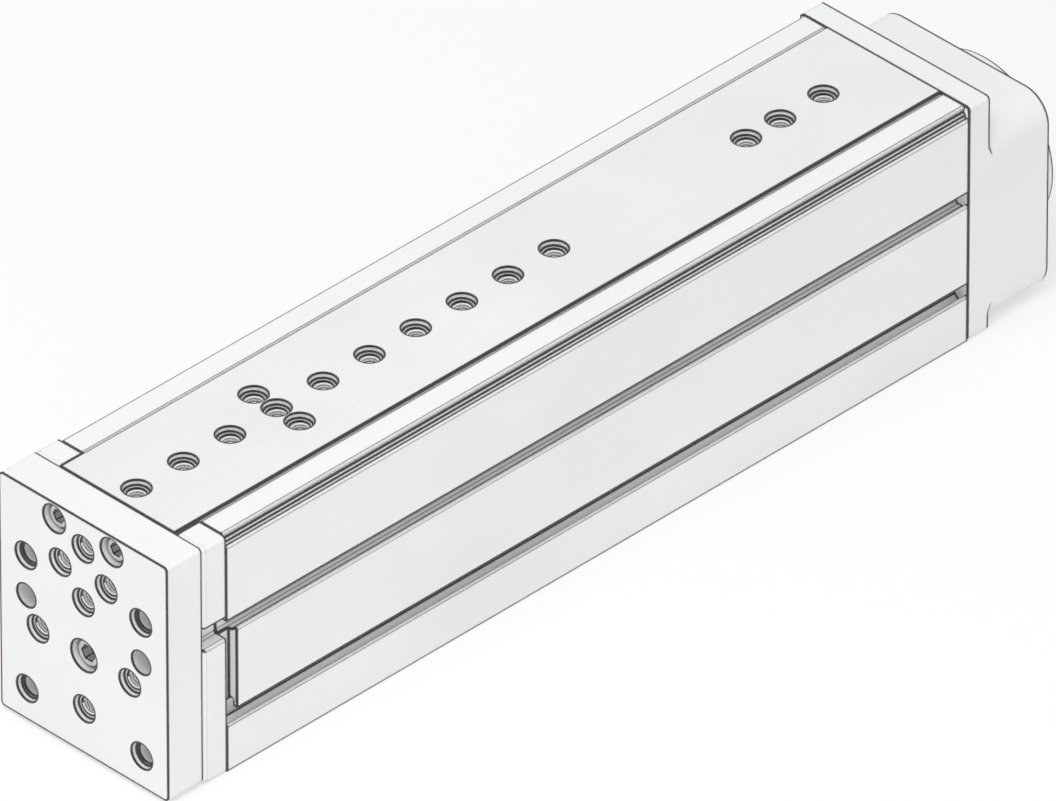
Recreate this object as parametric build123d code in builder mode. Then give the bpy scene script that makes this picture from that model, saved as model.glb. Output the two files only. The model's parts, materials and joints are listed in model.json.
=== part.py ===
from build123d import *

import os
from math import isclose

# Miniature linear slide with a ball screw drive, in millimetres.
# +X runs from the yoke plate at the front to the drive journal at the rear, +Y to the left, +Z up.
# The origin is in the mounting face, below the middle of the overall length.

# Body outline
body_height = 88.4
axis_drop = 6.4
outline_radius = 1.5
stroke = 200.0

# Yoke plate
plate_side_inset = 0.3
plate_bottom = 1.15
plate_top_inset = 0.3
plate_thickness = 14.8
plate_gap = 0.2

# Covers, rear block, pilot and journal
cover_thickness = 9.9
cover_edge_radius = 1.4
cap_thickness = 9.2
block_length = 26.4
block_rise = 1.0
block_radius = 10.0
block_root_radius = 1.6
pilot_diameter = 60.0
pilot_length = 9.4
pilot_chamfer = 0.3
pilot_bore = 40.0
journal_diameter = 12.0
seal_seat_diameter = 14.0
journal_reach = 18.0
shaft_chamfer = 0.5

# Drive train along the spindle axis
rod_wall = 4.0
rod_bore_gap = 1.0
rod_end_length = 28.0
rod_end_collar = 6.0
rod_guide_length = 17.1
carrier_length = 46.0
carrier_gap = 0.5
rod_seat_length = 20.0
nut_length = 42.0
nut_wall = 6.0
nut_flange_thickness = 8.0
nut_wiper_length = 3.0
nut_wiper_inset = 2.0
spindle_diameter = 20.0
spindle_front_gap = 8.0
band_width = 6.0
band_depth = 2.0
band_from_front = 6.0
magnet_width = 5.0
magnet_depth = 3.0
magnet_from_front = 30.0
buffer_length = 6.0
stroke_reserve = 3.0
wiper_wall = 4.0
wiper_depth = 4.0

# Spindle bearings
bearing_bore = 15.0
bearing_diameter = 35.0
bearing_width = 11.0
bearing_count = 2
bearing_ball = 6.0
bearing_ball_count = 8
bearing_land = 3.5
bearing_shoulder = 6.0
bearing_shoulder_bore = 26.0
lock_nut_diameter = 22.0
lock_nut_width = 7.0
lock_nut_slots = 4
lock_nut_slot_width = 4.0
lock_nut_slot_depth = 1.5
clamp_ring_width = 8.0
clamp_ring_bore = 24.0
clamp_key_diameter = 3.0
clamp_key_depth = 3.0
seal_width = 4.0
seal_gap = 1.0

# Slide and its ball guide
slide_width = 50.0
slide_thickness = 15.0
slide_rise = 0.65
slide_edge_chamfer = 0.5
slide_end_gap = 0.3
guide_ball = 4.0
guide_ball_drop = 8.5
guide_ball_offset = 1.1
guide_ball_count = 14
return_row_offset = 3.8
return_row_drop = 4.1
cassette_length = 100.0
cassette_end_length = 10.0
cassette_width = 7.0
cassette_gap = 0.6
stop_length = 8.0
stop_head_recess = 1.0
stop_hole_depth = 4.0

# Guide channel, cover strips and the shoulder beside them
channel_floor_gap = 1.05
channel_side_wall = 4.1
strip_thickness = 2.4
strip_inset = 1.8
strip_corner_radius = 0.7
strip_edge_height = 1.4
strip_undercut = 0.35
strip_leg_width = 1.6
strip_leg_drop = 2.0
strip_hook_reach = 0.9
strip_hook_height = 1.0
shoulder_inset = 1.45
shoulder_height = 1.7
shoulder_chamfer = 0.6
shoulder_root_radius = 0.55
land_edge_radius = 0.85
side_edge_radius = 0.4

# Slots in the sides
sensor_slot_depth = 4.92
sensor_lower_lip = 0.95
sensor_upper_lip = 1.65
sensor_lip_rise = 1.35
sensor_floor_radius = 0.8
sensor_mouth_bottom = 51.85
sensor_mouth_height = 4.65
cover_slot_bottom = 50.3
cover_slot_height = 7.95
nut_slot_bottom = 13.65
nut_slot_height = 10.9
nut_slot_depth = 5.4
nut_slot_lip = 1.7
nut_slot_chamfer = 2.4
nut_lip_chamfer = 0.85
nut_edge_radius = 0.75
nut_mouth_bottom = 17.45
nut_mouth_height = 4.5
slot_entry_length = 4.4
slot_entry_depth = 3.54

# Hole patterns: each point is across, up from the spindle axis
centring_diameter = 9.0
centring_depth = 2.1
tapped_m6 = 6.0
tapped_m5 = 5.0
plate_tapped_points = [(0, 40), (-10, 30), (10, 30), (0, 20), (-20, 0), (20, 0), (0, -20)]
plate_bolt_points = [(-25, 25), (25, 25), (-25, -25), (25, -25)]
plate_bolt_diameter = 6.6
plate_access_points = [(-25, 10), (25, 10)]
plate_access_diameter = 8.0
slide_screw_across = 12.5
slide_screw_drop = 6.25
head_recess = 2.0
slide_first_hole = 8.2
slide_hole_pitch = 20.0
slide_hole_count = 10
slide_cross_hole = 4
slide_cross_pitch = 10.0
slide_rear_holes = [264.0, 279.0, 298.0]
slide_hole_depth = 12.0
base_hole_pitch = 100.0
base_hole_rows = 3
base_hole_spacing = 40.0
base_hole_depth = 11.0
corner_screw_edge = 8.8
motor_hole_across = 62.0
motor_hole_up = 30.0
motor_hole_depth = 12.0

# Screws: thread, length, head diameter, head height, socket across flats
screw_m3 = (3.0, 10.0, 5.5, 3.0, 2.5)
screw_m5_slide = (5.0, 20.0, 8.5, 5.0, 4.0)
screw_m5_cover = (5.0, 20.0, 8.5, 5.0, 4.0)
screw_m5_rear = (5.0, 30.0, 8.5, 5.0, 4.0)
screw_m6_rod = (6.0, 20.0, 10.0, 6.0, 5.0)
socket_share = 0.6
head_chamfer_share = 0.08
rear_screw_head_depth = 20.0
nut_screw_count = 6

# Clearances
running_gap = 0.05
seat_gap = 0.02
thread_gap = 0.05
head_gap = 0.5
sleeve_gap = 0.3
slide_side_gap = 0.3
ball_gap = 0.1
buffer_gap = 1.0
nut_head_gap = 0.15
nut_rim_gap = 0.05

# Cross-section worked out from the values above
slide_half = slide_width / 2
cassette_inner = slide_half + cassette_gap
cassette_outer = cassette_inner + cassette_width
channel_half_width = cassette_outer + ball_gap
half_width = channel_half_width + channel_side_wall
body_width = 2 * half_width
axis_height = body_height / 2 - axis_drop
slide_top = body_height + slide_rise
slide_bottom = slide_top - slide_thickness
channel_floor = slide_bottom - channel_floor_gap
block_height = 2 * (axis_height - block_rise)
plate_width = body_width - 2 * plate_side_inset
plate_height = slide_top - plate_top_inset - plate_bottom
strip_inner = slide_half + slide_side_gap
strip_outer = half_width - strip_inset
strip_bottom = body_height - strip_thickness
hook_bottom = strip_bottom - strip_leg_drop
shoulder_outer = half_width - shoulder_inset
shoulder_bottom = strip_bottom - shoulder_height
sensor_slot_inner = half_width - sensor_slot_depth
sensor_floor = sensor_mouth_bottom - sensor_lip_rise
sensor_mouth_top = sensor_mouth_bottom + sensor_mouth_height
sensor_ceiling = sensor_mouth_top + sensor_lip_rise
nut_slot_inner = half_width - nut_slot_depth
nut_slot_top = nut_slot_bottom + nut_slot_height
nut_mouth_top = nut_mouth_bottom + nut_mouth_height
ball_across = slide_half + guide_ball_offset
ball_height = slide_top - guide_ball_drop
return_across = ball_across + return_row_offset
return_height = ball_height - return_row_drop
groove_radius = guide_ball / 2 + ball_gap
cassette_bottom = channel_floor + slide_side_gap
cassette_top = hook_bottom - ball_gap
cassette_height = cassette_top - cassette_bottom
stop_across = (cassette_inner + cassette_outer) / 2

# Diameters worked out from the spindle outwards
rod_bore = spindle_diameter + 2 * rod_bore_gap
rod_diameter = rod_bore + 2 * rod_wall
wiper_diameter = rod_diameter + 2 * wiper_wall
nut_body_diameter = spindle_diameter + 2 * nut_wall
nut_wiper_diameter = nut_body_diameter - 2 * nut_wiper_inset
nut_screw_circle = nut_body_diameter + screw_m3[2] + 2 * nut_head_gap
nut_flange_diameter = nut_screw_circle + screw_m3[2] + 2 * nut_rim_gap
housing_bore = nut_flange_diameter + 2 * sleeve_gap
carrier_diameter = housing_bore - 2 * carrier_gap
buffer_diameter = housing_bore - 2 * buffer_gap
pitch_radius = (bearing_bore + bearing_diameter) / 4
outer_land = pitch_radius + bearing_land / 2
inner_land = pitch_radius - bearing_land / 2

# Stations along X
housing_length = (
    stroke
    + rod_guide_length
    + carrier_length
    + nut_length
    + 2 * (buffer_length + stroke_reserve)
)
body_length = cover_thickness + housing_length + cap_thickness + block_length + pilot_length
overall_length = plate_thickness + plate_gap + body_length + journal_reach
x_front = -overall_length / 2
x_plate_back = x_front + plate_thickness
x_cover = x_plate_back + plate_gap
x_housing = x_cover + cover_thickness
x_cap = x_housing + housing_length
x_block = x_cap + cap_thickness
x_pilot = x_block + block_length
x_pilot_end = x_pilot + pilot_length
x_rear = x_pilot_end + journal_reach
x_nut_end = x_cap - buffer_length - stroke_reserve
x_nut = x_nut_end - nut_length
x_carrier = x_nut - carrier_length
x_bearing = x_cap + bearing_shoulder
x_bearing_end = x_bearing + bearing_count * bearing_width
x_clamp_end = x_bearing_end + clamp_ring_width
x_seal = x_clamp_end + seal_gap
x_journal = x_seal + seal_width + seal_gap
x_spindle = x_plate_back + rod_end_length + spindle_front_gap
x_cassette = x_housing + cassette_end_length
x_cassette_back = x_cassette + cassette_length
x_stop = x_cassette_back + cassette_end_length
x_stop_middle = x_stop + stop_length / 2

# Hole positions worked out from the values above
slide_front_holes = [slide_hole_pitch * i for i in range(slide_hole_count)]
slide_hole_stations = slide_front_holes + slide_rear_holes
x_first_hole = x_plate_back + slide_first_hole
x_cross_hole = x_first_hole + slide_hole_pitch * (slide_cross_hole - 1)
slide_hole_points = [(x_first_hole + station, 0) for station in slide_hole_stations]
slide_hole_points += [(x_cross_hole, side * slide_cross_pitch) for side in (-1, 1)]
slide_screw_up = slide_top - slide_screw_drop - axis_height
slide_screw_points = [(side * slide_screw_across, slide_screw_up) for side in (-1, 1)]
corner_across = half_width - corner_screw_edge
corner_up = block_height / 2 - corner_screw_edge
corner_points = [(side * corner_across, rise * corner_up) for side in (-1, 1) for rise in (-1, 1)]
stop_points = [(0, side * stop_across) for side in (-1, 1)]

spindle_axis = Axis((0, 0, axis_height), (1, 0, 0))
axial_plane = Plane((0, 0, axis_height), x_dir=(1, 0, 0), z_dir=(0, -1, 0))


def base_section(x):
    """Plane across the slide at station x, measured from the mounting face."""
    return Plane.YZ.offset(x)


def axis_section(x):
    """Plane across the slide at station x, measured from the spindle axis."""
    return Plane((x, 0, axis_height), x_dir=(0, 1, 0), z_dir=(1, 0, 0))


def turned(outline):
    """Solid turned about the spindle axis from (station, radius) corners."""
    with BuildPart() as piece:
        with BuildSketch(axial_plane):
            with BuildLine():
                Polyline(*outline, close=True)
            make_face()
        revolve(axis=spindle_axis)
    return piece.part


def ring(start, length, outer, inner):
    """Plain ring on the spindle axis."""
    return turned(
        [
            (start, inner / 2),
            (start + length, inner / 2),
            (start + length, outer / 2),
            (start, outer / 2),
        ]
    )


def cap_screw(thread, length, head, head_height, across_flats):
    """Socket head cap screw along +X, with the underside of its head at the origin."""
    with BuildPart() as screw:
        with BuildSketch(Plane.YZ.offset(-head_height)):
            Circle(head / 2)
        extrude(amount=head_height)
        chamfer(screw.edges().group_by(Axis.X)[0], head_height * head_chamfer_share)
        with BuildSketch(Plane.YZ):
            Circle(thread / 2)
        extrude(amount=length)
        with BuildSketch(Plane.YZ.offset(-head_height)):
            RegularPolygon(across_flats / 2, 6, major_radius=False)
        extrude(amount=head_height * socket_share, mode=Mode.SUBTRACT)
    return screw.part


def corners(sketch, across, up):
    """Corners of a cross-section that lie at this height and this far to either side."""
    return sketch.vertices().filter_by(
        lambda corner: isclose(abs(corner.X), across, abs_tol=0.001)
        and isclose(corner.Y, up, abs_tol=0.001)
    )


def save(piece, name):
    """Label a finished piece and write it."""
    piece.label = name
    export_step(piece, f"parts/{name}.step")


os.makedirs("parts", exist_ok=True)

# Housing: one extrusion with the drive bore, the guide channel and two slots in each side
with BuildPart() as housing:
    with BuildSketch(base_section(x_housing)) as section:
        Rectangle(body_width, strip_bottom, align=(Align.CENTER, Align.MIN))
        with Locations((0, channel_floor)):
            Rectangle(
                2 * channel_half_width,
                body_height,
                align=(Align.CENTER, Align.MIN),
                mode=Mode.SUBTRACT,
            )
        for side in (-1, 1):
            with BuildLine():
                Polyline(
                    (side * half_width, shoulder_bottom),
                    (side * shoulder_outer, shoulder_bottom),
                    (side * shoulder_outer, strip_bottom),
                    (side * half_width, strip_bottom),
                    close=True,
                )
            make_face(mode=Mode.SUBTRACT)
            # Room for the hook of the cover strip
            hook_outer = channel_half_width + strip_hook_reach + ball_gap
            with BuildLine():
                Polyline(
                    (side * channel_half_width, hook_bottom - ball_gap),
                    (side * hook_outer, hook_bottom - ball_gap),
                    (side * hook_outer, hook_bottom + strip_hook_height + ball_gap),
                    (side * channel_half_width, hook_bottom + strip_hook_height + ball_gap),
                    close=True,
                )
            make_face(mode=Mode.SUBTRACT)
            # Upper slot, for position sensors
            lower_lip = half_width - sensor_lower_lip
            upper_lip = half_width - sensor_upper_lip
            with BuildLine():
                Polyline(
                    (side * half_width, sensor_mouth_bottom),
                    (side * lower_lip, sensor_mouth_bottom),
                    (side * (lower_lip - sensor_lip_rise), sensor_floor),
                    (side * sensor_slot_inner, sensor_floor),
                    (side * sensor_slot_inner, sensor_ceiling),
                    (side * (upper_lip - sensor_lip_rise), sensor_ceiling),
                    (side * upper_lip, sensor_mouth_top),
                    (side * half_width, sensor_mouth_top),
                    close=True,
                )
            make_face(mode=Mode.SUBTRACT)
            # Lower slot, for slot nuts
            lip = half_width - nut_slot_lip
            with BuildLine():
                Polyline(
                    (side * half_width, nut_mouth_bottom),
                    (side * (lip + nut_lip_chamfer), nut_mouth_bottom),
                    (side * lip, nut_mouth_bottom - nut_lip_chamfer),
                    (side * lip, nut_slot_bottom),
                    (side * (nut_slot_inner + nut_slot_chamfer), nut_slot_bottom),
                    (side * nut_slot_inner, nut_slot_bottom + nut_slot_chamfer),
                    (side * nut_slot_inner, nut_slot_top - nut_slot_chamfer),
                    (side * (nut_slot_inner + nut_slot_chamfer), nut_slot_top),
                    (side * lip, nut_slot_top),
                    (side * lip, nut_mouth_top),
                    (side * half_width, nut_mouth_top),
                    close=True,
                )
            make_face(mode=Mode.SUBTRACT)
        chamfer(corners(section, shoulder_outer, strip_bottom), shoulder_chamfer)
        fillet(corners(section, shoulder_outer, shoulder_bottom), shoulder_root_radius)
        fillet(corners(section, half_width, shoulder_bottom), land_edge_radius)
        fillet(corners(section, half_width, sensor_mouth_bottom), land_edge_radius)
        fillet(corners(section, half_width, nut_mouth_bottom), nut_edge_radius)
        fillet(corners(section, half_width, 0), side_edge_radius)
        fillet(corners(section, sensor_slot_inner, sensor_floor), sensor_floor_radius)
        fillet(corners(section, sensor_slot_inner, sensor_ceiling), sensor_floor_radius)
    extrude(amount=housing_length)
    with BuildSketch(axis_section(x_housing)):
        Circle(housing_bore / 2)
    extrude(amount=housing_length, mode=Mode.SUBTRACT)
    # Entry milled into the land between the slots, at the front
    with BuildSketch(base_section(x_housing)):
        for side in (-1, 1):
            with Locations((side * (half_width - slot_entry_depth / 2), nut_mouth_top)):
                Rectangle(
                    slot_entry_depth,
                    sensor_mouth_bottom - nut_mouth_top,
                    align=(Align.CENTER, Align.MIN),
                )
    extrude(amount=slot_entry_length, mode=Mode.SUBTRACT)
    # Tapped channels for the cover screws, open at both ends
    with BuildSketch(axis_section(x_housing)):
        with Locations(*corner_points):
            Circle(screw_m5_cover[0] / 2 + thread_gap)
    extrude(amount=housing_length, mode=Mode.SUBTRACT)
    # Mounting holes in the base, each with a centring counterbore
    with Locations(Plane((x_housing + housing_length / 2, 0, 0), x_dir=(1, 0, 0), z_dir=(0, 0, -1))):
        with GridLocations(base_hole_pitch, base_hole_spacing, base_hole_rows, 2):
            CounterBoreHole(tapped_m6 / 2, centring_diameter / 2, centring_depth, base_hole_depth)
    # Tapped holes for the guide stops
    with Locations(Plane((x_stop_middle, 0, channel_floor))):
        with Locations(*stop_points):
            Hole(screw_m3[0] / 2 + thread_gap, depth=stop_hole_depth)
save(housing.part, "housing")


def cover_strip(side):
    """Strip that narrows the guide channel, hooked into the side wall; side is -1 or 1."""
    leg_outer = channel_half_width - ball_gap
    leg_inner = leg_outer - strip_leg_width
    edge_bottom = body_height - strip_edge_height
    foot_outer = strip_outer - strip_undercut
    with BuildPart() as strip:
        with BuildSketch(base_section(x_housing)) as section:
            with BuildLine():
                Polyline(
                    (side * strip_inner, strip_bottom),
                    (side * strip_inner, body_height),
                    (side * strip_outer, body_height),
                    (side * strip_outer, edge_bottom),
                    (side * foot_outer, edge_bottom),
                    (side * foot_outer, strip_bottom),
                    (side * leg_outer, strip_bottom),
                    (side * leg_outer, hook_bottom + strip_hook_height),
                    (side * (leg_outer + strip_hook_reach), hook_bottom + strip_hook_height),
                    (side * (leg_outer + strip_hook_reach), hook_bottom),
                    (side * leg_inner, hook_bottom),
                    (side * leg_inner, strip_bottom),
                    close=True,
                )
            make_face()
            fillet(section.vertices().group_by(Axis.Y)[-1], strip_corner_radius)
        extrude(amount=housing_length)
    return strip.part


save(cover_strip(1), "cover_strip_left")
save(cover_strip(-1), "cover_strip_right")

# Front cover: open at the top for the slide, with the sensor slots running on through its sides
with BuildPart() as front_cover:
    with BuildSketch(base_section(x_cover)):
        with Locations((0, body_height / 2)):
            RectangleRounded(body_width, body_height, outline_radius)
    extrude(amount=cover_thickness)
    fillet(front_cover.faces().sort_by(Axis.X)[0].edges(), cover_edge_radius)
    with BuildSketch(base_section(x_cover)):
        with Locations((0, channel_floor)):
            Rectangle(2 * strip_inner, body_height, align=(Align.CENTER, Align.MIN))
        with Locations((0, axis_height)):
            Circle(rod_diameter / 2 + sleeve_gap)
    extrude(amount=cover_thickness, mode=Mode.SUBTRACT)
    with BuildSketch(base_section(x_cover)) as slots:
        for side in (-1, 1):
            with Locations((side * (half_width - sensor_slot_depth / 2), cover_slot_bottom)):
                Rectangle(sensor_slot_depth, cover_slot_height, align=(Align.CENTER, Align.MIN))
        fillet(corners(slots, sensor_slot_inner, cover_slot_bottom), sensor_floor_radius)
        # Rounded lower edge of each slot
        edge_middle = cover_slot_bottom - land_edge_radius / 2
        for side in (-1, 1):
            with Locations((side * (half_width - land_edge_radius / 2), edge_middle)):
                Rectangle(land_edge_radius, land_edge_radius)
            with Locations(
                (side * (half_width - land_edge_radius), cover_slot_bottom - land_edge_radius)
            ):
                Circle(land_edge_radius, mode=Mode.SUBTRACT)
    extrude(amount=cover_thickness, mode=Mode.SUBTRACT)
    with BuildSketch(axis_section(x_cover)):
        Circle(wiper_diameter / 2)
    extrude(amount=wiper_depth, mode=Mode.SUBTRACT)
    with Locations(Plane((x_cover, 0, axis_height), x_dir=(0, 1, 0), z_dir=(-1, 0, 0))):
        with Locations(*corner_points):
            CounterBoreHole(
                screw_m5_cover[0] / 2 + sleeve_gap,
                screw_m5_cover[2] / 2 + head_gap,
                screw_m5_cover[3] + head_gap,
                cover_thickness,
            )
save(front_cover.part, "front_cover")

# Wiper that seals the push rod in the front cover
with BuildPart() as rod_wiper:
    add(ring(x_cover, wiper_depth, wiper_diameter, rod_diameter + 2 * running_gap))
save(rod_wiper.part, "rod_wiper")

# Bush that guides the push rod, seated in the housing behind the front cover
with BuildPart() as rod_guide_bush:
    add(
        ring(
            x_housing,
            rod_guide_length,
            housing_bore - 2 * seat_gap,
            rod_diameter + 2 * running_gap,
        )
    )
    chamfer(rod_guide_bush.edges().group_by(Axis.X)[-1], shaft_chamfer)
save(rod_guide_bush.part, "rod_guide_bush")

# Rubber rings that take the last of the travel at each end
with BuildPart() as front_buffer:
    add(ring(x_housing + rod_guide_length, buffer_length, buffer_diameter, rod_diameter + buffer_gap))
save(front_buffer.part, "front_buffer")

with BuildPart() as rear_buffer:
    add(ring(x_cap - buffer_length, buffer_length, buffer_diameter, bearing_shoulder_bore))
save(rear_buffer.part, "rear_buffer")

# Rear bearing housing: end cap, square block blended into it and round pilot in one casting
with BuildPart() as rear_bearing_housing:
    with BuildSketch(axis_section(x_cap)):
        Rectangle(2 * body_width, 2 * body_height)
    extrude(amount=cap_thickness)
    with BuildSketch(axis_section(x_block)):
        RectangleRounded(body_width, block_height, block_radius)
    extrude(amount=block_length)
    cap_back = rear_bearing_housing.faces().filter_by(Axis.X).sort_by(Axis.X)[1]
    fillet(cap_back.inner_wires()[0].edges(), block_root_radius)
    with BuildSketch(base_section(x_cap)):
        with Locations((0, body_height / 2)):
            RectangleRounded(body_width, body_height, outline_radius)
    extrude(amount=cap_thickness + block_length, mode=Mode.INTERSECT)
    split(bisect_by=Plane.XZ)
    mirror(about=Plane.XZ)
    with BuildSketch(axis_section(x_pilot)):
        Circle(pilot_diameter / 2)
    extrude(amount=pilot_length)
    chamfer(rear_bearing_housing.faces().sort_by(Axis.X)[-1].edges(), pilot_chamfer)
    add(ring(x_cap, bearing_shoulder, bearing_shoulder_bore, 0), mode=Mode.SUBTRACT)
    with BuildSketch(axis_section(x_bearing)):
        Circle(bearing_diameter / 2 + seat_gap)
    extrude(amount=x_bearing_end - x_bearing, mode=Mode.SUBTRACT)
    with BuildSketch(axis_section(x_bearing_end)):
        Circle(pilot_bore / 2)
    extrude(amount=x_pilot_end - x_bearing_end, mode=Mode.SUBTRACT)
    with Locations(Plane((x_pilot, 0, axis_height), x_dir=(0, 1, 0), z_dir=(1, 0, 0))):
        with Locations(*corner_points):
            CounterBoreHole(
                screw_m5_rear[0] / 2 + sleeve_gap,
                screw_m5_rear[2] / 2 + head_gap,
                rear_screw_head_depth,
                cap_thickness + block_length,
            )
        with GridLocations(motor_hole_across, motor_hole_up, 2, 2):
            Hole(tapped_m5 / 2, depth=motor_hole_depth)
save(rear_bearing_housing.part, "rear_bearing_housing")


def bearing_stations():
    """Middle of each spindle bearing along X."""
    return [x_bearing + bearing_width * (i + 0.5) for i in range(bearing_count)]


def bearing_ring(x_middle, inner, outer):
    """Bearing ring with a ball groove turned into it."""
    with BuildPart() as piece:
        add(ring(x_middle - bearing_width / 2, bearing_width, 2 * outer, 2 * inner))
        with BuildSketch(axial_plane):
            with Locations((x_middle, pitch_radius)):
                Circle(bearing_ball / 2 + running_gap)
        revolve(axis=spindle_axis, mode=Mode.SUBTRACT)
    return piece.part


with BuildPart() as bearing_outer_rings:
    for station in bearing_stations():
        add(bearing_ring(station, outer_land, bearing_diameter / 2))
save(bearing_outer_rings.part, "bearing_outer_rings")

with BuildPart() as bearing_inner_rings:
    for station in bearing_stations():
        add(bearing_ring(station, bearing_bore / 2 + seat_gap, inner_land))
save(bearing_inner_rings.part, "bearing_inner_rings")

with BuildPart() as bearing_balls:
    for station in bearing_stations():
        with Locations(axis_section(station)):
            with PolarLocations(pitch_radius, bearing_ball_count):
                Sphere(bearing_ball / 2)
save(bearing_balls.part, "bearing_balls")

# Threaded ring that clamps the bearings, with two holes for a pin spanner
with BuildPart() as bearing_clamp_ring:
    add(ring(x_bearing_end, clamp_ring_width, pilot_bore - 2 * seat_gap, clamp_ring_bore))
    with Locations(Plane((x_clamp_end, 0, axis_height), x_dir=(0, 1, 0), z_dir=(1, 0, 0))):
        with PolarLocations((pilot_bore + clamp_ring_bore) / 4, 2):
            Hole(clamp_key_diameter / 2, depth=clamp_key_depth)
save(bearing_clamp_ring.part, "bearing_clamp_ring")

# Seal round the drive journal
with BuildPart() as shaft_seal:
    add(
        ring(
            x_seal,
            seal_width,
            pilot_bore - 2 * seat_gap,
            seal_seat_diameter + 2 * running_gap,
        )
    )
save(shaft_seal.part, "shaft_seal")

# Spindle: screw shaft, bearing seat and drive journal
with BuildPart() as spindle:
    add(
        turned(
            [
                (x_spindle, 0),
                (x_spindle, spindle_diameter / 2 - shaft_chamfer),
                (x_spindle + shaft_chamfer, spindle_diameter / 2),
                (x_bearing, spindle_diameter / 2),
                (x_bearing, bearing_bore / 2),
                (x_bearing_end + lock_nut_width, bearing_bore / 2),
                (x_bearing_end + lock_nut_width, seal_seat_diameter / 2),
                (x_journal, seal_seat_diameter / 2),
                (x_journal, journal_diameter / 2),
                (x_rear - shaft_chamfer, journal_diameter / 2),
                (x_rear, journal_diameter / 2 - shaft_chamfer),
                (x_rear, 0),
            ]
        )
    )
save(spindle.part, "spindle")

# Slotted nut that holds the inner rings on the spindle
with BuildPart() as lock_nut:
    add(ring(x_bearing_end, lock_nut_width, lock_nut_diameter, bearing_bore + 2 * seat_gap))
    with BuildSketch(axis_section(x_bearing_end)):
        with PolarLocations(lock_nut_diameter / 2, lock_nut_slots):
            Rectangle(2 * lock_nut_slot_depth, lock_nut_slot_width)
    extrude(amount=lock_nut_width, mode=Mode.SUBTRACT)
save(lock_nut.part, "lock_nut")

# Yoke plate: every hole is placed from the spindle axis
with BuildPart() as yoke_plate:
    with BuildSketch(base_section(x_front)):
        with Locations((0, plate_bottom + plate_height / 2)):
            RectangleRounded(plate_width, plate_height, outline_radius)
    extrude(amount=plate_thickness)
    with Locations(Plane((x_front, 0, axis_height), x_dir=(0, 1, 0), z_dir=(-1, 0, 0))):
        with Locations(*[(across, -up) for across, up in plate_tapped_points]):
            CounterBoreHole(tapped_m6 / 2, centring_diameter / 2, centring_depth, plate_thickness)
        with Locations(*[(across, -up) for across, up in plate_bolt_points]):
            CounterBoreHole(
                plate_bolt_diameter / 2, centring_diameter / 2, centring_depth, plate_thickness
            )
        with Locations(*[(across, -up) for across, up in plate_access_points]):
            Hole(plate_access_diameter / 2, depth=plate_thickness)
        with Locations(*[(across, -up) for across, up in slide_screw_points]):
            CounterBoreHole(
                screw_m5_slide[0] / 2 + sleeve_gap,
                screw_m5_slide[2] / 2 + head_gap,
                screw_m5_slide[3] + head_recess,
                plate_thickness,
            )
        with Locations((0, 0)):
            CounterBoreHole(
                screw_m6_rod[0] / 2 + sleeve_gap,
                screw_m6_rod[2] / 2 + head_gap,
                screw_m6_rod[3] + head_recess,
                plate_thickness,
            )
save(yoke_plate.part, "yoke_plate")

# Slide: ground bar with a ball groove along each side
with BuildPart() as slide:
    with BuildSketch(base_section(x_plate_back)) as outline:
        with Locations((0, slide_bottom)):
            Rectangle(slide_width, slide_thickness, align=(Align.CENTER, Align.MIN))
        chamfer(outline.vertices().group_by(Axis.Y)[-1], slide_edge_chamfer)
        for side in (-1, 1):
            with Locations((side * ball_across, ball_height)):
                Circle(groove_radius, mode=Mode.SUBTRACT)
    extrude(amount=x_cap - slide_end_gap - x_plate_back)
    with Locations(Plane((0, 0, slide_top))):
        with Locations(*slide_hole_points):
            CounterBoreHole(tapped_m6 / 2, centring_diameter / 2, centring_depth, slide_hole_depth)
    with Locations(Plane((x_plate_back, 0, axis_height), x_dir=(0, 1, 0), z_dir=(-1, 0, 0))):
        with Locations(*[(across, -up) for across, up in slide_screw_points]):
            Hole(screw_m5_slide[0] / 2 + thread_gap, depth=screw_m5_slide[1] - head_recess)
save(slide.part, "slide")

# Push rod: tube from the yoke plate to the nut carrier, over the spindle
with BuildPart() as push_rod:
    rod_start = x_plate_back + rod_end_collar
    add(ring(rod_start, x_carrier + rod_seat_length - rod_start, rod_diameter, rod_bore))
save(push_rod.part, "push_rod")

# Plug that closes the push rod and takes the centre screw
with BuildPart() as rod_end:
    add(
        turned(
            [
                (x_plate_back, 0),
                (x_plate_back, rod_diameter / 2),
                (x_plate_back + rod_end_collar, rod_diameter / 2),
                (x_plate_back + rod_end_collar, rod_bore / 2 - seat_gap),
                (x_plate_back + rod_end_length, rod_bore / 2 - seat_gap),
                (x_plate_back + rod_end_length, 0),
            ]
        )
    )
    with BuildSketch(axis_section(x_plate_back)):
        Circle(screw_m6_rod[0] / 2 + thread_gap)
    extrude(amount=screw_m6_rod[1], mode=Mode.SUBTRACT)
save(rod_end.part, "rod_end")

# Nut carrier: piston that runs in the housing bore and joins the push rod to the nut
with BuildPart() as nut_carrier:
    add(ring(x_carrier, carrier_length, carrier_diameter, rod_bore))
    with BuildSketch(axis_section(x_carrier)):
        Circle(rod_diameter / 2 + seat_gap)
    extrude(amount=rod_seat_length, mode=Mode.SUBTRACT)
    groove_floor = carrier_diameter - 2 * band_depth
    add(
        ring(x_carrier + band_from_front, band_width, housing_bore, groove_floor),
        mode=Mode.SUBTRACT,
    )
    magnet_floor = carrier_diameter - 2 * magnet_depth
    add(
        ring(x_carrier + magnet_from_front, magnet_width, housing_bore, magnet_floor),
        mode=Mode.SUBTRACT,
    )
    with BuildSketch(axis_section(x_nut)):
        with PolarLocations(nut_screw_circle / 2, nut_screw_count):
            Circle(screw_m3[0] / 2 + thread_gap)
    extrude(amount=-screw_m3[1], mode=Mode.SUBTRACT)
save(nut_carrier.part, "nut_carrier")

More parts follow.
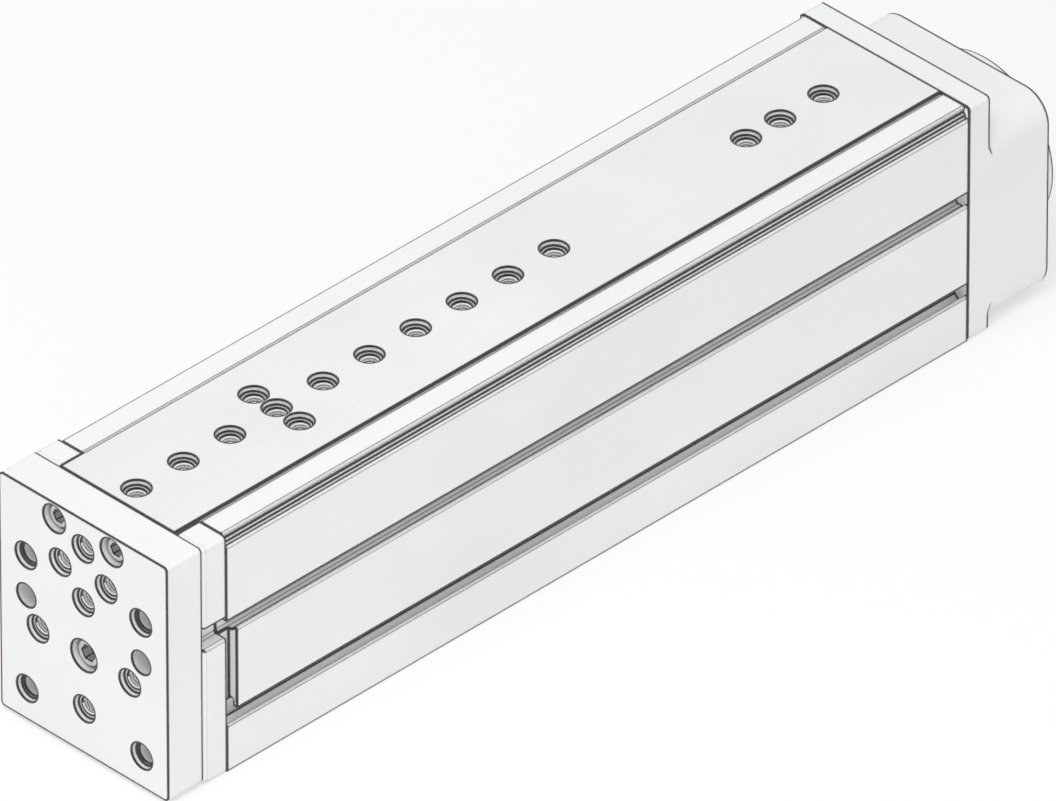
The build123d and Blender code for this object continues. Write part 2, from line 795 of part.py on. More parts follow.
with BuildPart() as guide_band:
    add(
        ring(
            x_carrier + band_from_front,
            band_width,
            housing_bore - 2 * ball_gap,
            groove_floor + 2 * seat_gap,
        )
    )
save(guide_band.part, "guide_band")

with BuildPart() as magnet_ring:
    add(
        ring(
            x_carrier + magnet_from_front,
            magnet_width,
            carrier_diameter - 2 * seat_gap,
            magnet_floor + 2 * seat_gap,
        )
    )
save(magnet_ring.part, "magnet_ring")

# Spindle nut with its mounting flange towards the carrier
with BuildPart() as spindle_nut:
    add(
        turned(
            [
                (x_nut, spindle_diameter / 2 + running_gap),
                (x_nut, nut_flange_diameter / 2),
                (x_nut + nut_flange_thickness, nut_flange_diameter / 2),
                (x_nut + nut_flange_thickness, nut_body_diameter / 2),
                (x_nut_end, nut_body_diameter / 2),
                (x_nut_end, nut_wiper_diameter / 2),
                (x_nut_end - nut_wiper_length, nut_wiper_diameter / 2),
                (x_nut_end - nut_wiper_length, spindle_diameter / 2 + running_gap),
            ]
        )
    )
    with BuildSketch(axis_section(x_nut)):
        with PolarLocations(nut_screw_circle / 2, nut_screw_count):
            Circle(screw_m3[0] / 2 + sleeve_gap)
    extrude(amount=nut_flange_thickness, mode=Mode.SUBTRACT)
save(spindle_nut.part, "spindle_nut")

with BuildPart() as nut_wiper:
    add(
        ring(
            x_nut_end - nut_wiper_length,
            nut_wiper_length,
            nut_wiper_diameter - 2 * seat_gap,
            spindle_diameter + 2 * running_gap,
        )
    )
save(nut_wiper.part, "nut_wiper")


def cassette_block(x, length, side):
    """Plain block with the outline of a cassette."""
    with BuildPart() as block:
        with BuildSketch(base_section(x)):
            with Locations((side * stop_across, cassette_bottom)):
                Rectangle(cassette_width, cassette_height, align=(Align.CENTER, Align.MIN))
        extrude(amount=length)
    return block.part


def cassette(side):
    """Ball cassette with its loaded groove towards the slide and its return bore behind."""
    with BuildPart() as body:
        add(cassette_block(x_cassette, cassette_length, side))
        with BuildSketch(base_section(x_cassette)):
            with Locations(
                (side * ball_across, ball_height),
                (side * return_across, return_height),
            ):
                Circle(groove_radius)
        extrude(amount=cassette_length, mode=Mode.SUBTRACT)
    return body.part


def cassette_ends(side):
    """Two end pieces, each with the channel that turns the balls into the return bore."""
    middle = (side * (ball_across + return_across) / 2, (ball_height + return_height) / 2)
    turn_axis = (0, side * return_row_drop, return_row_offset)
    with BuildPart() as ends:
        for x, x_turn in ((x_housing, x_cassette), (x_cassette_back, x_cassette_back)):
            add(cassette_block(x, cassette_end_length, side))
            with BuildSketch(base_section(x_turn)):
                with Locations((side * ball_across, ball_height)):
                    Circle(groove_radius)
            revolve(
                axis=Axis((x_turn, *middle), turn_axis),
                revolution_arc=360,
                mode=Mode.SUBTRACT,
            )
    return ends.part


def guide_balls(side):
    """Balls of one loaded row, evenly spaced along the cassette."""
    pitch = cassette_length / guide_ball_count
    with BuildPart() as balls:
        for i in range(guide_ball_count):
            with Locations((x_cassette + pitch * (i + 0.5), side * ball_across, ball_height)):
                Sphere(guide_ball / 2)
    return balls.part


for side, hand in ((1, "left"), (-1, "right")):
    save(cassette(side), f"cassette_{hand}")
    save(cassette_ends(side), f"cassette_ends_{hand}")
    save(guide_balls(side), f"guide_balls_{hand}")

# Blocks that hold the cassettes against the front cover, and their screws
stop_seat = cassette_top - screw_m3[3] - stop_head_recess
with BuildPart() as guide_stops:
    for side in (-1, 1):
        add(cassette_block(x_stop, stop_length, side))
    with Locations(Plane((x_stop_middle, 0, cassette_top))):
        with Locations(*stop_points):
            CounterBoreHole(
                screw_m3[0] / 2 + ball_gap,
                screw_m3[2] / 2 + ball_gap,
                cassette_top - stop_seat,
                cassette_height,
            )
save(guide_stops.part, "guide_stops")

with BuildPart() as guide_stop_screws:
    for side in (-1, 1):
        with Locations(Location((x_stop_middle, side * stop_across, stop_seat), (0, 90, 0))):
            add(cap_screw(*screw_m3))
save(guide_stop_screws.part, "guide_stop_screws")

# Screws that join the yoke plate to the slide and to the push rod
with BuildPart() as yoke_slide_screws:
    for across, up in slide_screw_points:
        with Locations((x_front + head_recess + screw_m5_slide[3], across, axis_height + up)):
            add(cap_screw(*screw_m5_slide))
save(yoke_slide_screws.part, "yoke_slide_screws")

with BuildPart() as yoke_rod_screw:
    with Locations((x_front + head_recess + screw_m6_rod[3], 0, axis_height)):
        add(cap_screw(*screw_m6_rod))
save(yoke_rod_screw.part, "yoke_rod_screw")

# Screws of the front cover and of the rear bearing housing
with BuildPart() as front_cover_screws:
    for across, up in corner_points:
        with Locations((x_cover + screw_m5_cover[3] + head_gap, across, axis_height + up)):
            add(cap_screw(*screw_m5_cover))
save(front_cover_screws.part, "front_cover_screws")

with BuildPart() as rear_housing_screws:
    for across, up in corner_points:
        place = (x_pilot - rear_screw_head_depth, across, axis_height + up)
        with Locations(Location(place, (0, 0, 180))):
            add(cap_screw(*screw_m5_rear))
save(rear_housing_screws.part, "rear_housing_screws")

with BuildPart() as nut_screws:
    with Locations(axis_section(x_nut + nut_flange_thickness)):
        with PolarLocations(nut_screw_circle / 2, nut_screw_count):
            add(cap_screw(*screw_m3), rotation=(0, 90, 0))
save(nut_screws.part, "nut_screws")

print("overall length", overall_length)
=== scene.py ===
import json

import bpy
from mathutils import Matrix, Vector

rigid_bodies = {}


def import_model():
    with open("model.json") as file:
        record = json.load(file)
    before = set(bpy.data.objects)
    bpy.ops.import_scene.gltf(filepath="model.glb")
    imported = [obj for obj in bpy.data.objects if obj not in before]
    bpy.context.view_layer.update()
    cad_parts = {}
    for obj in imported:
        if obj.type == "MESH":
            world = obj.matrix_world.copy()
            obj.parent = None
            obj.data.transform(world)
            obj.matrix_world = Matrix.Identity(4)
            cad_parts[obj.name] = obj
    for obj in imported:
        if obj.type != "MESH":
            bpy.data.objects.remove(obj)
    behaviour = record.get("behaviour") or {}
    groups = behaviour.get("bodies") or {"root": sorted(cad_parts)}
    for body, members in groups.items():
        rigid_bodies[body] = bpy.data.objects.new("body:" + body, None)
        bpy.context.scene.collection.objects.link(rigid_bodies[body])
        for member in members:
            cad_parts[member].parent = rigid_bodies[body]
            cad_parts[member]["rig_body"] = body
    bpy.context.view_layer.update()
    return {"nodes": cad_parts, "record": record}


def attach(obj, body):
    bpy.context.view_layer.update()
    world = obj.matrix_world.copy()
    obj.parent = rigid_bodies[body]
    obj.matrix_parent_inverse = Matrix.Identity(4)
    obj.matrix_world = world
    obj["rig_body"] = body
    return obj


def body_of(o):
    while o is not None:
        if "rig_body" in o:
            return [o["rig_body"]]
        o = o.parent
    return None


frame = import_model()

bl_info = {
    "name": "Miniature linear slide",
    "version": (1, 0, 0),
    "blender": (4, 5, 0),
    "location": "View3D > Sidebar > Slide",
    "description": "Finishes, threads, camera and studio for a miniature linear slide",
    "category": "Object",
}

MM = 0.001
nodes = frame["nodes"]

# The nodes that share each finish
EXTRUDED = ("housing", "cover_strip_left", "cover_strip_right")
DRILLED = ("yoke_plate",)
MACHINED = ("front_cover", "nut_carrier")
CAST = ("rear_bearing_housing",)
BAR = ("slide",)
GROUND = ("rod_end", "spindle_nut", "cassette_left", "cassette_right", "guide_stops")
TURNED = ("push_rod", "spindle", "bearing_outer_rings", "bearing_inner_rings")
BALLS = ("bearing_balls", "guide_balls_left", "guide_balls_right")
BLACKENED = ("bearing_clamp_ring", "lock_nut", "magnet_ring")
SCREWS = (
    "yoke_slide_screws",
    "yoke_rod_screw",
    "front_cover_screws",
    "rear_housing_screws",
    "guide_stop_screws",
    "nut_screws",
)
RUBBER = ("rod_wiper", "front_buffer", "rear_buffer", "shaft_seal")
PLASTIC = ("cassette_ends_left", "cassette_ends_right", "guide_band", "nut_wiper")
BRONZE = ("rod_guide_bush",)

# Painted shade along edges and creases: 1 minus the cosine by which the surface turns nearby, where
# the dark band begins and where it is full
EDGE_SHADE_TURN = (0.0025, 0.012)
# For the painted shade on the slide's long chamfers: the Y part of a normal times its Z part, which
# is 0.5 on a 45 degree chamfer, in the same way
SHADED_CHAMFER_SLOPE = (0.3, 0.45)
EDGE_SHADE_SAMPLES = 16

# The faint cloudiness that every finish has, and how far grain and cloudiness move the roughness
CLOUD_LENGTH = 60 * MM
SHADE_RANGE = (0.3, 0.7)
GRAIN_ROUGHNESS = 0.14
CLOUD_ROUGHNESS = 0.05


class Sizes(bpy.types.PropertyGroup):
    """Sizes of the details that the scene adds."""

    # The reaches below set how wide the painted shade along edges and creases spreads
    edge_shade_reach: bpy.props.FloatProperty(
        name="Line reach",
        description="How far round a point the surface is searched for an edge",
        default=1.45 * MM,
        unit="LENGTH",
    )
    hole_edge_shade_reach: bpy.props.FloatProperty(
        name="Hole line reach",
        description="The same search on the pieces with counterbored holes",
        default=1.25 * MM,
        unit="LENGTH",
    )
    screw_edge_shade_reach: bpy.props.FloatProperty(
        name="Screw line reach",
        description="The same search on the screws",
        default=0.7 * MM,
        unit="LENGTH",
    )
    thread_edge_shade_reach: bpy.props.FloatProperty(
        name="Thread line reach",
        description="The same search on the threads, whose edges lie closest together",
        default=0.35 * MM,
        unit="LENGTH",
    )
    thread_share: bpy.props.FloatProperty(
        name="Thread depth share",
        description="Depth of a thread as a share of its pitch",
        default=0.5,
    )
    coarse_pitch: bpy.props.FloatProperty(
        name="M6 pitch",
        description="Rise of an M6 thread in one turn",
        default=1.0 * MM,
        unit="LENGTH",
    )
    fine_pitch: bpy.props.FloatProperty(
        name="M5 pitch",
        description="Rise of an M5 thread in one turn",
        default=0.8 * MM,
        unit="LENGTH",
    )
    thread_length: bpy.props.FloatProperty(
        name="Thread length",
        description="How far a thread runs into its hole",
        default=8.0 * MM,
        unit="LENGTH",
    )


def colour_property(name, description, colour):
    """A base colour that can be set in the panel."""
    return bpy.props.FloatVectorProperty(
        name=name, description=description, default=(*colour, 1.0), size=4, subtype="COLOR"
    )


class Colours(bpy.types.PropertyGroup):
    """Base colours of the finishes, and the colour of the painted shade along edges and creases."""

    # Colour of the painted shade along edges and creases
    line: colour_property("Line", "Dark line along the edges", (0.02, 0.02, 0.022))
    anodised: colour_property("Anodised", "Natural anodised aluminium", (0.83, 0.835, 0.84))
    ground: colour_property("Ground steel", "Hardened steel of the slide", (0.83, 0.83, 0.83))
    screw: colour_property("Screw", "Plated steel of the screws", (0.62, 0.62, 0.63))
    ball: colour_property("Ball", "Polished bearing steel", (0.75, 0.76, 0.78))
    blackened: colour_property("Blackened", "Blackened steel of nuts and rings", (0.09, 0.09, 0.10))
    rubber: colour_property("Rubber", "Seals and buffers", (0.022, 0.022, 0.024))
    plastic: colour_property("Plastic", "Moulded end pieces and bands", (0.035, 0.035, 0.04))
    bronze: colour_property("Bronze", "Sintered bronze of the bush", (0.50, 0.32, 0.14))


class Camera(bpy.types.PropertyGroup):
    """Where the camera stands and what it frames."""

    target: bpy.props.FloatVectorProperty(
        name="Target",
        description="Point in the middle of the picture",
        default=(-13.8 * MM, 0.0, 37.35 * MM),
        subtype="TRANSLATION",
    )
    frame_width: bpy.props.FloatProperty(
        name="Frame width",
        description="Width of the picture at the target",
        default=325.57 * MM,
        unit="LENGTH",
    )
    lens: bpy.props.FloatProperty(
        name="Lens",
        description="Focal length in millimetres, long enough for parallel edges to stay parallel",
        default=1200.0,
    )


class Signal:
    """A node socket that takes part in Python arithmetic."""

    def __init__(self, network, socket):
        self.network = network
        self.socket = socket

    def _maths(self, operation, first, second):
        return self.network.node("ShaderNodeMath", {"operation": operation}, {0: first, 1: second})

    def __add__(self, other):
        return self._maths("ADD", self, other)

    def __radd__(self, other):
        return self._maths("ADD", other, self)

    def __sub__(self, other):
        return self._maths("SUBTRACT", self, other)

    def __rsub__(self, other):
        return self._maths("SUBTRACT", other, self)

    def __mul__(self, other):
        return self._maths("MULTIPLY", self, other)

    def __rmul__(self, other):
        return self._maths("MULTIPLY", other, self)

    def __truediv__(self, other):
        return self._maths("DIVIDE", self, other)

    def __rtruediv__(self, other):
        return self._maths("DIVIDE", other, self)


class Network:
    """A node tree whose nodes are made by one method."""

    def __init__(self, tree):
        self.tree = tree
        self.tree.nodes.clear()

    def node(self, kind, settings=None, inputs=None, output=0):
        """Adds a node, applies its settings, sets or links its inputs, and returns an output."""
        made = self.tree.nodes.new(kind)
        for name, value in (settings or {}).items():
            setattr(made, name, value)
        for key, value in (inputs or {}).items():
            if isinstance(value, Signal):
                self.tree.links.new(value.socket, made.inputs[key])
            else:
                made.inputs[key].default_value = value
        return Signal(self, made.outputs[output]) if made.outputs else None

    def maximum(self, first, second):
        """The larger of two values."""
        return self.node("ShaderNodeMath", {"operation": "MAXIMUM"}, {0: first, 1: second})

    def shown(self):
        """1 on rays that show the background: to the camera, in a reflection or through glass."""
        camera, glossy, transmission = (
            self.node("ShaderNodeLightPath", output=f"Is {kind} Ray")
            for kind in ("Camera", "Glossy", "Transmission")
        )
        return self.maximum(self.maximum(camera, glossy), transmission)


class Finish(Network):
    """A material with the parts that every finish here shares."""

    def __init__(self, name):
        self.material = bpy.data.materials.new(name)
        self.material.use_nodes = True
        super().__init__(self.material.node_tree)

    def grain(self, stretch, detail):
        """Noise between 0 and 1 whose cells are stretch metres long along X, Y and Z."""
        place = self.node("ShaderNodeTexCoord", output="Object")
        scale = Vector([1 / length for length in stretch])
        mapped = self.node("ShaderNodeMapping", {}, {"Vector": place, "Scale": scale})
        return self.node(
            "ShaderNodeTexNoise", {}, {"Vector": mapped, "Scale": 1.0, "Detail": detail}
        )

    def mix(self, factor, first, second):
        """Colour between two others."""
        return self.node(
            "ShaderNodeMix", {"data_type": "RGBA"}, {0: factor, 6: first, 7: second}, 2
        )

    def between(self, value, limits):
        """Value mapped so that the first limit gives 0 and the second 1, held inside them."""
        return self.node(
            "ShaderNodeMapRange",
            {"interpolation_type": "SMOOTHSTEP"},
            {"Value": value, "From Min": limits[0], "From Max": limits[1]},
        )

    def lines(self, reach):
        """Painted shade mask: 1 along the edges and creases, where a dark band is painted, and 0 on
        the faces.
        """
        nearby = self.node("ShaderNodeBevel", {"samples": EDGE_SHADE_SAMPLES}, {"Radius": reach})
        here = self.node("ShaderNodeNewGeometry", output="Normal")
        turn = self.node(
            "ShaderNodeVectorMath", {"operation": "DOT_PRODUCT"}, {0: nearby, 1: here}, "Value"
        )
        return self.between(1 - turn, EDGE_SHADE_TURN)

    def painted_chamfer_shade_mask(self):
        """Painted shade mask: 1 on the faces that cut the long edges at 45 degrees, painted dark as
        the shadow of the gap beside them, and 0 elsewhere.
        """
        here = self.node("ShaderNodeNewGeometry", output="Normal")
        across = self.node("ShaderNodeSeparateXYZ", {}, {"Vector": here}, "Y")
        up = self.node("ShaderNodeSeparateXYZ", {}, {"Vector": here}, "Z")
        slope = self.node("ShaderNodeMath", {"operation": "ABSOLUTE"}, {0: across * up})
        return self.between(slope, SHADED_CHAMFER_SLOPE)


def darker(colour, share):
    """Colour scaled by share."""
    return (*(channel * share for channel in colour[:3]), 1.0)


def finish(
    name, colour, cell, metallic, roughness, depth, contrast=0.94, reach=None, paint_chamfer_shade=False
):
    """Material with grain of this cell and depth, faint cloudiness and painted shade as a dark band
    along edges and creases.
    """
    scene = bpy.context.scene
    made = Finish(name)
    grain = made.grain(cell, 3.0)
    cloud = made.grain((CLOUD_LENGTH,) * 3, 2.0)
    shade = made.between(0.5 * grain + 0.5 * cloud, SHADE_RANGE)
    tone = made.mix(shade, darker(colour, contrast), tuple(colour))
    # Painted shade: a dark band along the edges and creases, where the surface turns
    line = made.lines(reach or scene.slide_sizes.edge_shade_reach)
    # Painted shade: the 45 degree chamfers are painted as dark as the edges
    if paint_chamfer_shade:
        line = made.maximum(line, made.painted_chamfer_shade_mask())
    body = made.mix(line, tone, tuple(scene.slide_colours.line))
    uneven = GRAIN_ROUGHNESS * (grain - 0.5) + CLOUD_ROUGHNESS * (cloud - 0.5)
    surface = made.node(
        "ShaderNodeBsdfPrincipled",
        {},
        {
            "Base Color": body,
            # Under the painted edge shade the surface is not metallic, so the band stays dark
            "Metallic": metallic * (1 - line) if metallic else 0.0,
            "Roughness": roughness + uneven,
            "Normal": made.node("ShaderNodeBump", {}, {"Height": grain, "Distance": depth}),
        },
    )
    made.node("ShaderNodeOutputMaterial", {}, {"Surface": surface})
    return made.material


def dress(names, material):
    """Gives every named node one material."""
    for name in names:
        mesh = nodes[name].data
        mesh.materials.clear()
        mesh.materials.append(material)


def hole_starts(prefix, lead):
    """Points lead inside the walls of the holes of the mounts whose names begin with prefix."""
    places = []
    for mount in frame["record"]["mounts"]:
        if not mount["name"].startswith(prefix):
            continue
        axis = Vector(mount["axis"])
        rows = [i for i in range(3) if not axis[i]]
        reach = [mount["dims"].get(key, 0) * MM / 2 for key in ("spacing_x_mm", "spacing_y_mm")]
        for first in (-1, 1):
            for second in (-1, 1):
                place = Vector(mount["pos_m"])
                place[rows[0]] += first * reach[0]
                place[rows[1]] += second * reach[1]
                places.append(place)
    level = max(place.dot(axis) for place in places) - lead
    for place in places:
        place += (level - place.dot(axis)) * axis
    return list({tuple(round(length, 6) for length in place) for place in places}), axis


def thread_tree():
    """Geometry Nodes: a thread coil that starts at every vertex of a guide mesh."""
    tree = bpy.data.node_groups.new("hole_threads", "GeometryNodeTree")
    made = Network(tree)
    tree.interface.new_socket("Guide", in_out="INPUT", socket_type="NodeSocketGeometry")
    for label in ("Hole Radius", "Depth", "Pitch", "Length"):
        tree.interface.new_socket(label, in_out="INPUT", socket_type="NodeSocketFloat")
    tree.interface.new_socket("Turn", in_out="INPUT", socket_type="NodeSocketVector")
    tree.interface.new_socket("Material", in_out="INPUT", socket_type="NodeSocketMaterial")
    tree.interface.new_socket("Threads", in_out="OUTPUT", socket_type="NodeSocketGeometry")
    start = tree.nodes.new("NodeGroupInput")
    given = {socket.name: Signal(made, socket) for socket in start.outputs if socket.name}
    radius, pitch, length = given["Hole Radius"], given["Pitch"], given["Length"]
    coil = made.node(
        "GeometryNodeCurveSpiral",
        {},
        {
            "Resolution": 28,
            "Rotations": length / pitch,
            "Start Radius": radius,
            "End Radius": radius,
            "Height": length,
        },
    )
    profile = made.node(
        "GeometryNodeCurvePrimitiveCircle", {}, {"Resolution": 4, "Radius": given["Depth"]}
    )
    ridge = made.node(
        "GeometryNodeCurveToMesh", {}, {"Curve": coil, "Profile Curve": profile, "Fill Caps": True}
    )
    points = made.node("GeometryNodeMeshToPoints", {}, {"Mesh": given["Guide"]})
    turn = made.node("FunctionNodeEulerToRotation", {}, {"Euler": given["Turn"]})
    placed = made.node(
        "GeometryNodeInstanceOnPoints", {}, {"Points": points, "Instance": ridge, "Rotation": turn}
    )
    real = made.node("GeometryNodeRealizeInstances", {}, {"Geometry": placed})
    dressed = made.node(
        "GeometryNodeSetMaterial", {}, {"Geometry": real, "Material": given["Material"]}
    )
    made.node("NodeGroupOutput", {}, {"Threads": dressed})
    return tree


def threads(name, tree, prefix, hole_radius, pitch, carrier, material):
    """Bakes the threads of one group of tapped holes in the node called carrier."""
    sizes = bpy.context.scene.slide_sizes
    starts, axis = hole_starts(prefix, pitch / 2)
    guide = bpy.data.meshes.new(name)
    guide.from_pydata(starts, [], [])
    piece = bpy.data.objects.new(name, guide)
    bpy.context.scene.collection.objects.link(piece)
    modifier = piece.modifiers.new("threads", "NODES")
    modifier.node_group = tree
    values = {
        "Hole Radius": hole_radius,
        "Depth": pitch * sizes.thread_share,
        "Pitch": pitch,
        "Length": sizes.thread_length,
        "Turn": (-axis).to_track_quat("Z", "Y").to_euler(),
        "Material": material,
    }
    for item in tree.interface.items_tree:
        if item.in_out == "INPUT" and item.name in values:
            modifier[item.identifier] = values[item.name]
    seen = piece.evaluated_get(bpy.context.evaluated_depsgraph_get())
    piece.data = bpy.data.meshes.new_from_object(seen)
    piece.modifiers.clear()
    bpy.data.meshes.remove(guide)
    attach(piece, body_of(nodes[carrier])[0])


class SLIDE_OT_extrusion(bpy.types.Operator):
    """Finish the extruded housing and its cover strips"""

    bl_idname = "slide.extrusion"
    bl_label = "Extrusion"

    def execute(self, context):
        colour = context.scene.slide_colours.anodised
        drawn = (40 * MM, 0.25 * MM, 0.25 * MM)
        look = {"metallic": 0.3, "roughness": 0.42, "depth": 0.012 * MM}
        dress(EXTRUDED, finish("extruded_anodised", colour, drawn, **look))
        return {"FINISHED"}


class SLIDE_OT_plates(bpy.types.Operator):
    """Finish the yoke plate, the front cover and the nut carrier"""

    bl_idname = "slide.plates"
    bl_label = "Plates"

    def execute(self, context):
        colour = context.scene.slide_colours.anodised
        near = context.scene.slide_sizes.hole_edge_shade_reach
        milled = (0.5 * MM, 0.5 * MM, 0.5 * MM)
        look = {"metallic": 0.3, "roughness": 0.4, "depth": 0.012 * MM}
        dress(MACHINED, finish("milled_anodised", colour, milled, **look))
        dress(DRILLED, finish("drilled_anodised", colour, milled, reach=near, **look))
        return {"FINISHED"}


class SLIDE_OT_rear_housing(bpy.types.Operator):
    """Finish the cast rear bearing housing"""

    bl_idname = "slide.rear_housing"
    bl_label = "Rear bearing housing"

    def execute(self, context):
        colour = context.scene.slide_colours.anodised
        blasted = (0.35 * MM, 0.35 * MM, 0.35 * MM)
        look = {"metallic": 0.3, "roughness": 0.5, "depth": 0.03 * MM}
        dress(CAST, finish("blasted_anodised", colour, blasted, **look))
        return {"FINISHED"}


class SLIDE_OT_slide_bar(bpy.types.Operator):
    """Finish the ground slide and the other ground steel pieces"""

    bl_idname = "slide.slide_bar"
    bl_label = "Slide bar"

    def execute(self, context):
        colour = context.scene.slide_colours.ground
        near = context.scene.slide_sizes.hole_edge_shade_reach
        scratches = (30 * MM, 0.12 * MM, 0.12 * MM)
        look = {"metallic": 0.5, "roughness": 0.3, "depth": 0.008 * MM, "contrast": 0.9}
        # The slide's long chamfers get painted shade, dark like the gap beside them
        bar = finish("ground_bar", colour, scratches, reach=near, paint_chamfer_shade=True, **look)
        dress(BAR, bar)
        dress(GROUND, finish("ground_steel", colour, scratches, reach=near, **look))
        return {"FINISHED"}


class SLIDE_OT_drive(bpy.types.Operator):
    """Finish the push rod, the spindle, its bearings and the balls"""

    bl_idname = "slide.drive"
    bl_label = "Drive"

    def execute(self, context):
        colours = context.scene.slide_colours
        turned = (0.1 * MM, 8 * MM, 8 * MM)
        even = (1 * MM, 1 * MM, 1 * MM)
        look = {"metallic": 0.6, "roughness": 0.2, "depth": 0.006 * MM}
        dress(TURNED, finish("turned_steel", colours.ground, turned, **look))
        look = {"metallic": 1.0, "roughness": 0.12, "depth": 0.002 * MM}
        dress(BALLS, finish("ball_steel", colours.ball, even, **look))
        look = {"metallic": 0.7, "roughness": 0.4, "depth": 0.01 * MM, "contrast": 0.8}
        dress(BLACKENED, finish("blackened_steel", colours.blackened, even, **look))
        return {"FINISHED"}


class SLIDE_OT_screws(bpy.types.Operator):
    """Finish every socket head screw"""

    bl_idname = "slide.screws"
    bl_label = "Screws"

    def execute(self, context):
        colour = context.scene.slide_colours.screw
        reach = context.scene.slide_sizes.screw_edge_shade_reach
        plated = (0.5 * MM, 0.5 * MM, 0.5 * MM)
        look = {"metallic": 0.6, "roughness": 0.32, "depth": 0.01 * MM, "contrast": 0.88}
        dress(SCREWS, finish("plated_screws", colour, plated, reach=reach, **look))
        return {"FINISHED"}


class SLIDE_OT_soft_parts(bpy.types.Operator):
    """Finish the seals, buffers, plastic pieces and the bronze bush"""

    bl_idname = "slide.soft_parts"
    bl_label = "Seals and bush"

    def execute(self, context):
        colours = context.scene.slide_colours
        fine = (0.4 * MM, 0.4 * MM, 0.4 * MM)
        look = {"metallic": 0.0, "roughness": 0.7, "depth": 0.03 * MM, "contrast": 0.8}
        dress(RUBBER, finish("black_rubber", colours.rubber, fine, **look))
        look = {"metallic": 0.0, "roughness": 0.45, "depth": 0.01 * MM, "contrast": 0.8}
        dress(PLASTIC, finish("black_plastic", colours.plastic, fine, **look))
        look = {"metallic": 0.9, "roughness": 0.38, "depth": 0.02 * MM, "contrast": 0.8}
        dress(BRONZE, finish("sintered_bronze", colours.bronze, fine, **look))
        return {"FINISHED"}


class SLIDE_OT_threads(bpy.types.Operator):
    """Cut the look of a thread into every tapped hole"""

    bl_idname = "slide.threads"
    bl_label = "Threads"

    def execute(self, context):
        sizes, colours = context.scene.slide_sizes, context.scene.slide_colours
        fine = (0.3 * MM, 0.3 * MM, 0.3 * MM)
        look = {"metallic": 0.4, "roughness": 0.35, "depth": 0.005 * MM}
        near = sizes.thread_edge_shade_reach
        cut = finish("cut_threads", colours.ground, fine, reach=near, **look)
        tree = thread_tree()
        m6 = (3.0 * MM, sizes.coarse_pitch)
        m5 = (2.5 * MM, sizes.fine_pitch)
        threads("slide_threads", tree, "slide_holes", *m6, "slide", cut)
        threads("slide_cross_threads", tree, "slide_cross_holes", *m6, "slide", cut)
        threads("yoke_threads", tree, "yoke_tapped", *m6, "yoke_plate", cut)
        threads("base_threads", tree, "base_holes", *m6, "housing", cut)
        threads("motor_threads", tree, "motor_screw", *m5, "rear_bearing_housing", cut)
        return {"FINISHED"}


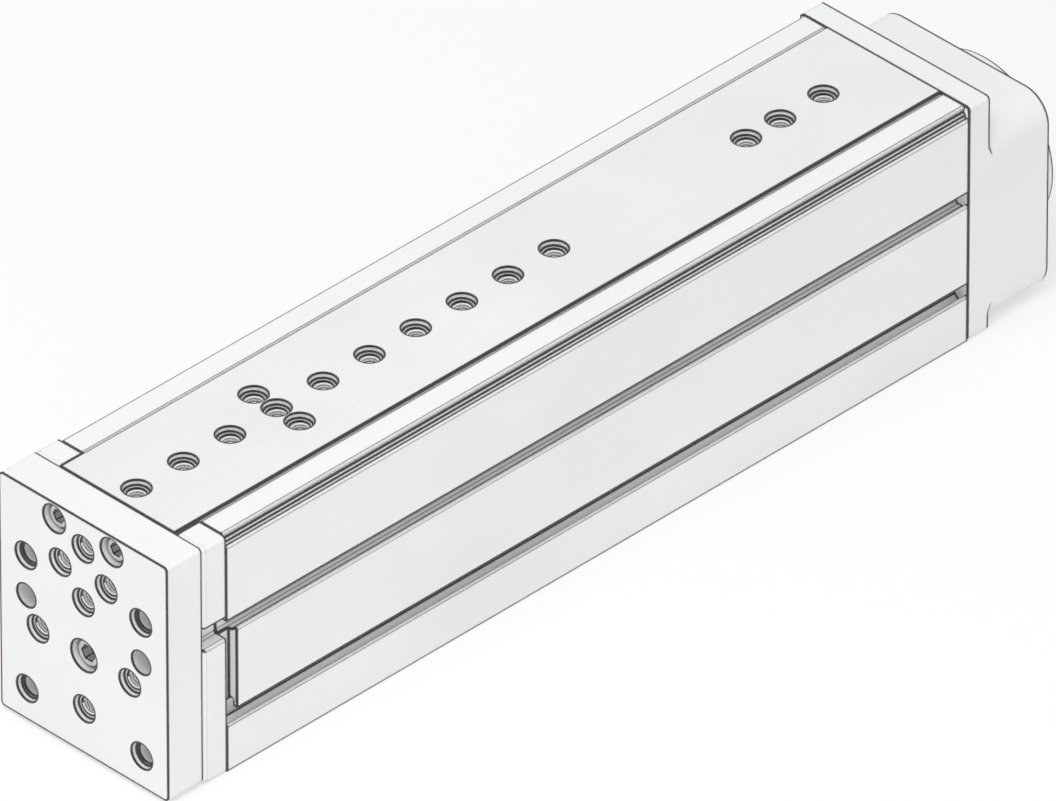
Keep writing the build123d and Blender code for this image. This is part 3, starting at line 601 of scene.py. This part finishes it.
class SLIDE_OT_stage(bpy.types.Operator):
    """Build the floor, the lights and the camera"""

    bl_idname = "slide.stage"
    bl_label = "Stage"

    def execute(self, context):
        self.floor()
        self.lights()
        self.camera(context.scene.slide_camera)
        context.scene.view_settings.view_transform = "Standard"
        return {"FINISHED"}

    def floor(self):
        size = 6.0
        drop = -0.1 * MM
        fade = (0.4, 2.5)
        mesh = bpy.data.meshes.new("floor")
        corners = ((-size, -size), (size, -size), (size, size), (-size, size))
        mesh.from_pydata([(*corner, drop) for corner in corners], [], [(0, 1, 2, 3)])
        piece = bpy.data.objects.new("floor", mesh)
        bpy.context.scene.collection.objects.link(piece)
        paint = Finish("floor")
        matt = paint.node("ShaderNodeBsdfDiffuse", {}, {"Color": (0.85, 0.85, 0.85, 1)})
        glow = paint.node("ShaderNodeEmission", {}, {"Color": (1, 1, 1, 1), "Strength": 1.0})
        place = paint.node("ShaderNodeTexCoord", output="Object")
        away = paint.node("ShaderNodeVectorMath", {"operation": "LENGTH"}, {0: place}, "Value")
        share = (0.5 + 0.5 * paint.between(away, fade)) * paint.shown()
        surface = paint.node("ShaderNodeMixShader", {}, {0: share, 1: matt, 2: glow})
        paint.node("ShaderNodeOutputMaterial", {}, {"Surface": surface})
        mesh.materials.append(paint.material)

    def lights(self):
        world = bpy.data.worlds.new("studio")
        bpy.context.scene.world = world
        world.use_nodes = True
        sky = Network(world.node_tree)
        white = (1, 1, 1, 1)
        soft = sky.node("ShaderNodeBackground", {}, {"Color": white, "Strength": 0.7})
        bright = sky.node("ShaderNodeBackground", {}, {"Color": white, "Strength": 1.0})
        surface = sky.node("ShaderNodeMixShader", {}, {0: sky.shown(), 1: soft, 2: bright})
        sky.node("ShaderNodeOutputWorld", {}, {"Surface": surface})
        self.lamp("key", place=(-0.5, -0.3, 1.6), size=1.2, power=14.0)
        self.lamp("fill", place=(-1.5, -0.8, 0.5), size=1.2, power=6.5)

    def lamp(self, name, place, size, power):
        data = bpy.data.lights.new(name, "AREA")
        data.shape = "DISK"
        data.size = size
        data.energy = power
        lamp = bpy.data.objects.new(name, data)
        lamp.visible_glossy = False
        lamp.location = place
        aim = Vector((0, 0, 0.04)) - Vector(place)
        lamp.rotation_euler = aim.to_track_quat("-Z", "Y").to_euler()
        bpy.context.scene.collection.objects.link(lamp)

    def camera(self, settings):
        data = bpy.data.cameras.new("camera")
        data.lens = settings.lens
        distance = settings.frame_width * settings.lens / data.sensor_width
        forward = Vector((1, 1, -1)).normalized()
        piece = bpy.data.objects.new("camera", data)
        piece.location = Vector(settings.target) - distance * forward
        piece.rotation_euler = forward.to_track_quat("-Z", "Y").to_euler()
        data.clip_start = 0.1
        data.clip_end = 4 * distance
        bpy.context.scene.collection.objects.link(piece)
        bpy.context.scene.camera = piece


class SLIDE_PT_panel(bpy.types.Panel):
    """Lists the sizes, colours and steps"""

    bl_idname = "SLIDE_PT_panel"
    bl_label = "Miniature linear slide"
    bl_space_type = "VIEW_3D"
    bl_region_type = "UI"
    bl_category = "Slide"

    def draw(self, context):
        scene = context.scene
        for group in (scene.slide_sizes, scene.slide_colours, scene.slide_camera):
            for name in group.__annotations__:
                self.layout.prop(group, name)
        for operator in STEPS:
            self.layout.operator(operator.bl_idname)


GROUPS = (Sizes, Colours, Camera)
STEPS = (
    SLIDE_OT_extrusion,
    SLIDE_OT_plates,
    SLIDE_OT_rear_housing,
    SLIDE_OT_slide_bar,
    SLIDE_OT_drive,
    SLIDE_OT_screws,
    SLIDE_OT_soft_parts,
    SLIDE_OT_threads,
    SLIDE_OT_stage,
)


def register():
    for item in (*GROUPS, *STEPS, SLIDE_PT_panel):
        bpy.utils.register_class(item)
    bpy.types.Scene.slide_sizes = bpy.props.PointerProperty(type=Sizes)
    bpy.types.Scene.slide_colours = bpy.props.PointerProperty(type=Colours)
    bpy.types.Scene.slide_camera = bpy.props.PointerProperty(type=Camera)


def unregister():
    del bpy.types.Scene.slide_camera
    del bpy.types.Scene.slide_colours
    del bpy.types.Scene.slide_sizes
    for item in reversed((*GROUPS, *STEPS, SLIDE_PT_panel)):
        bpy.utils.unregister_class(item)


def main():
    register()
    for operator in STEPS:
        group, name = operator.bl_idname.split(".")
        getattr(getattr(bpy.ops, group), name)()


if __name__ == "__main__":
    main()
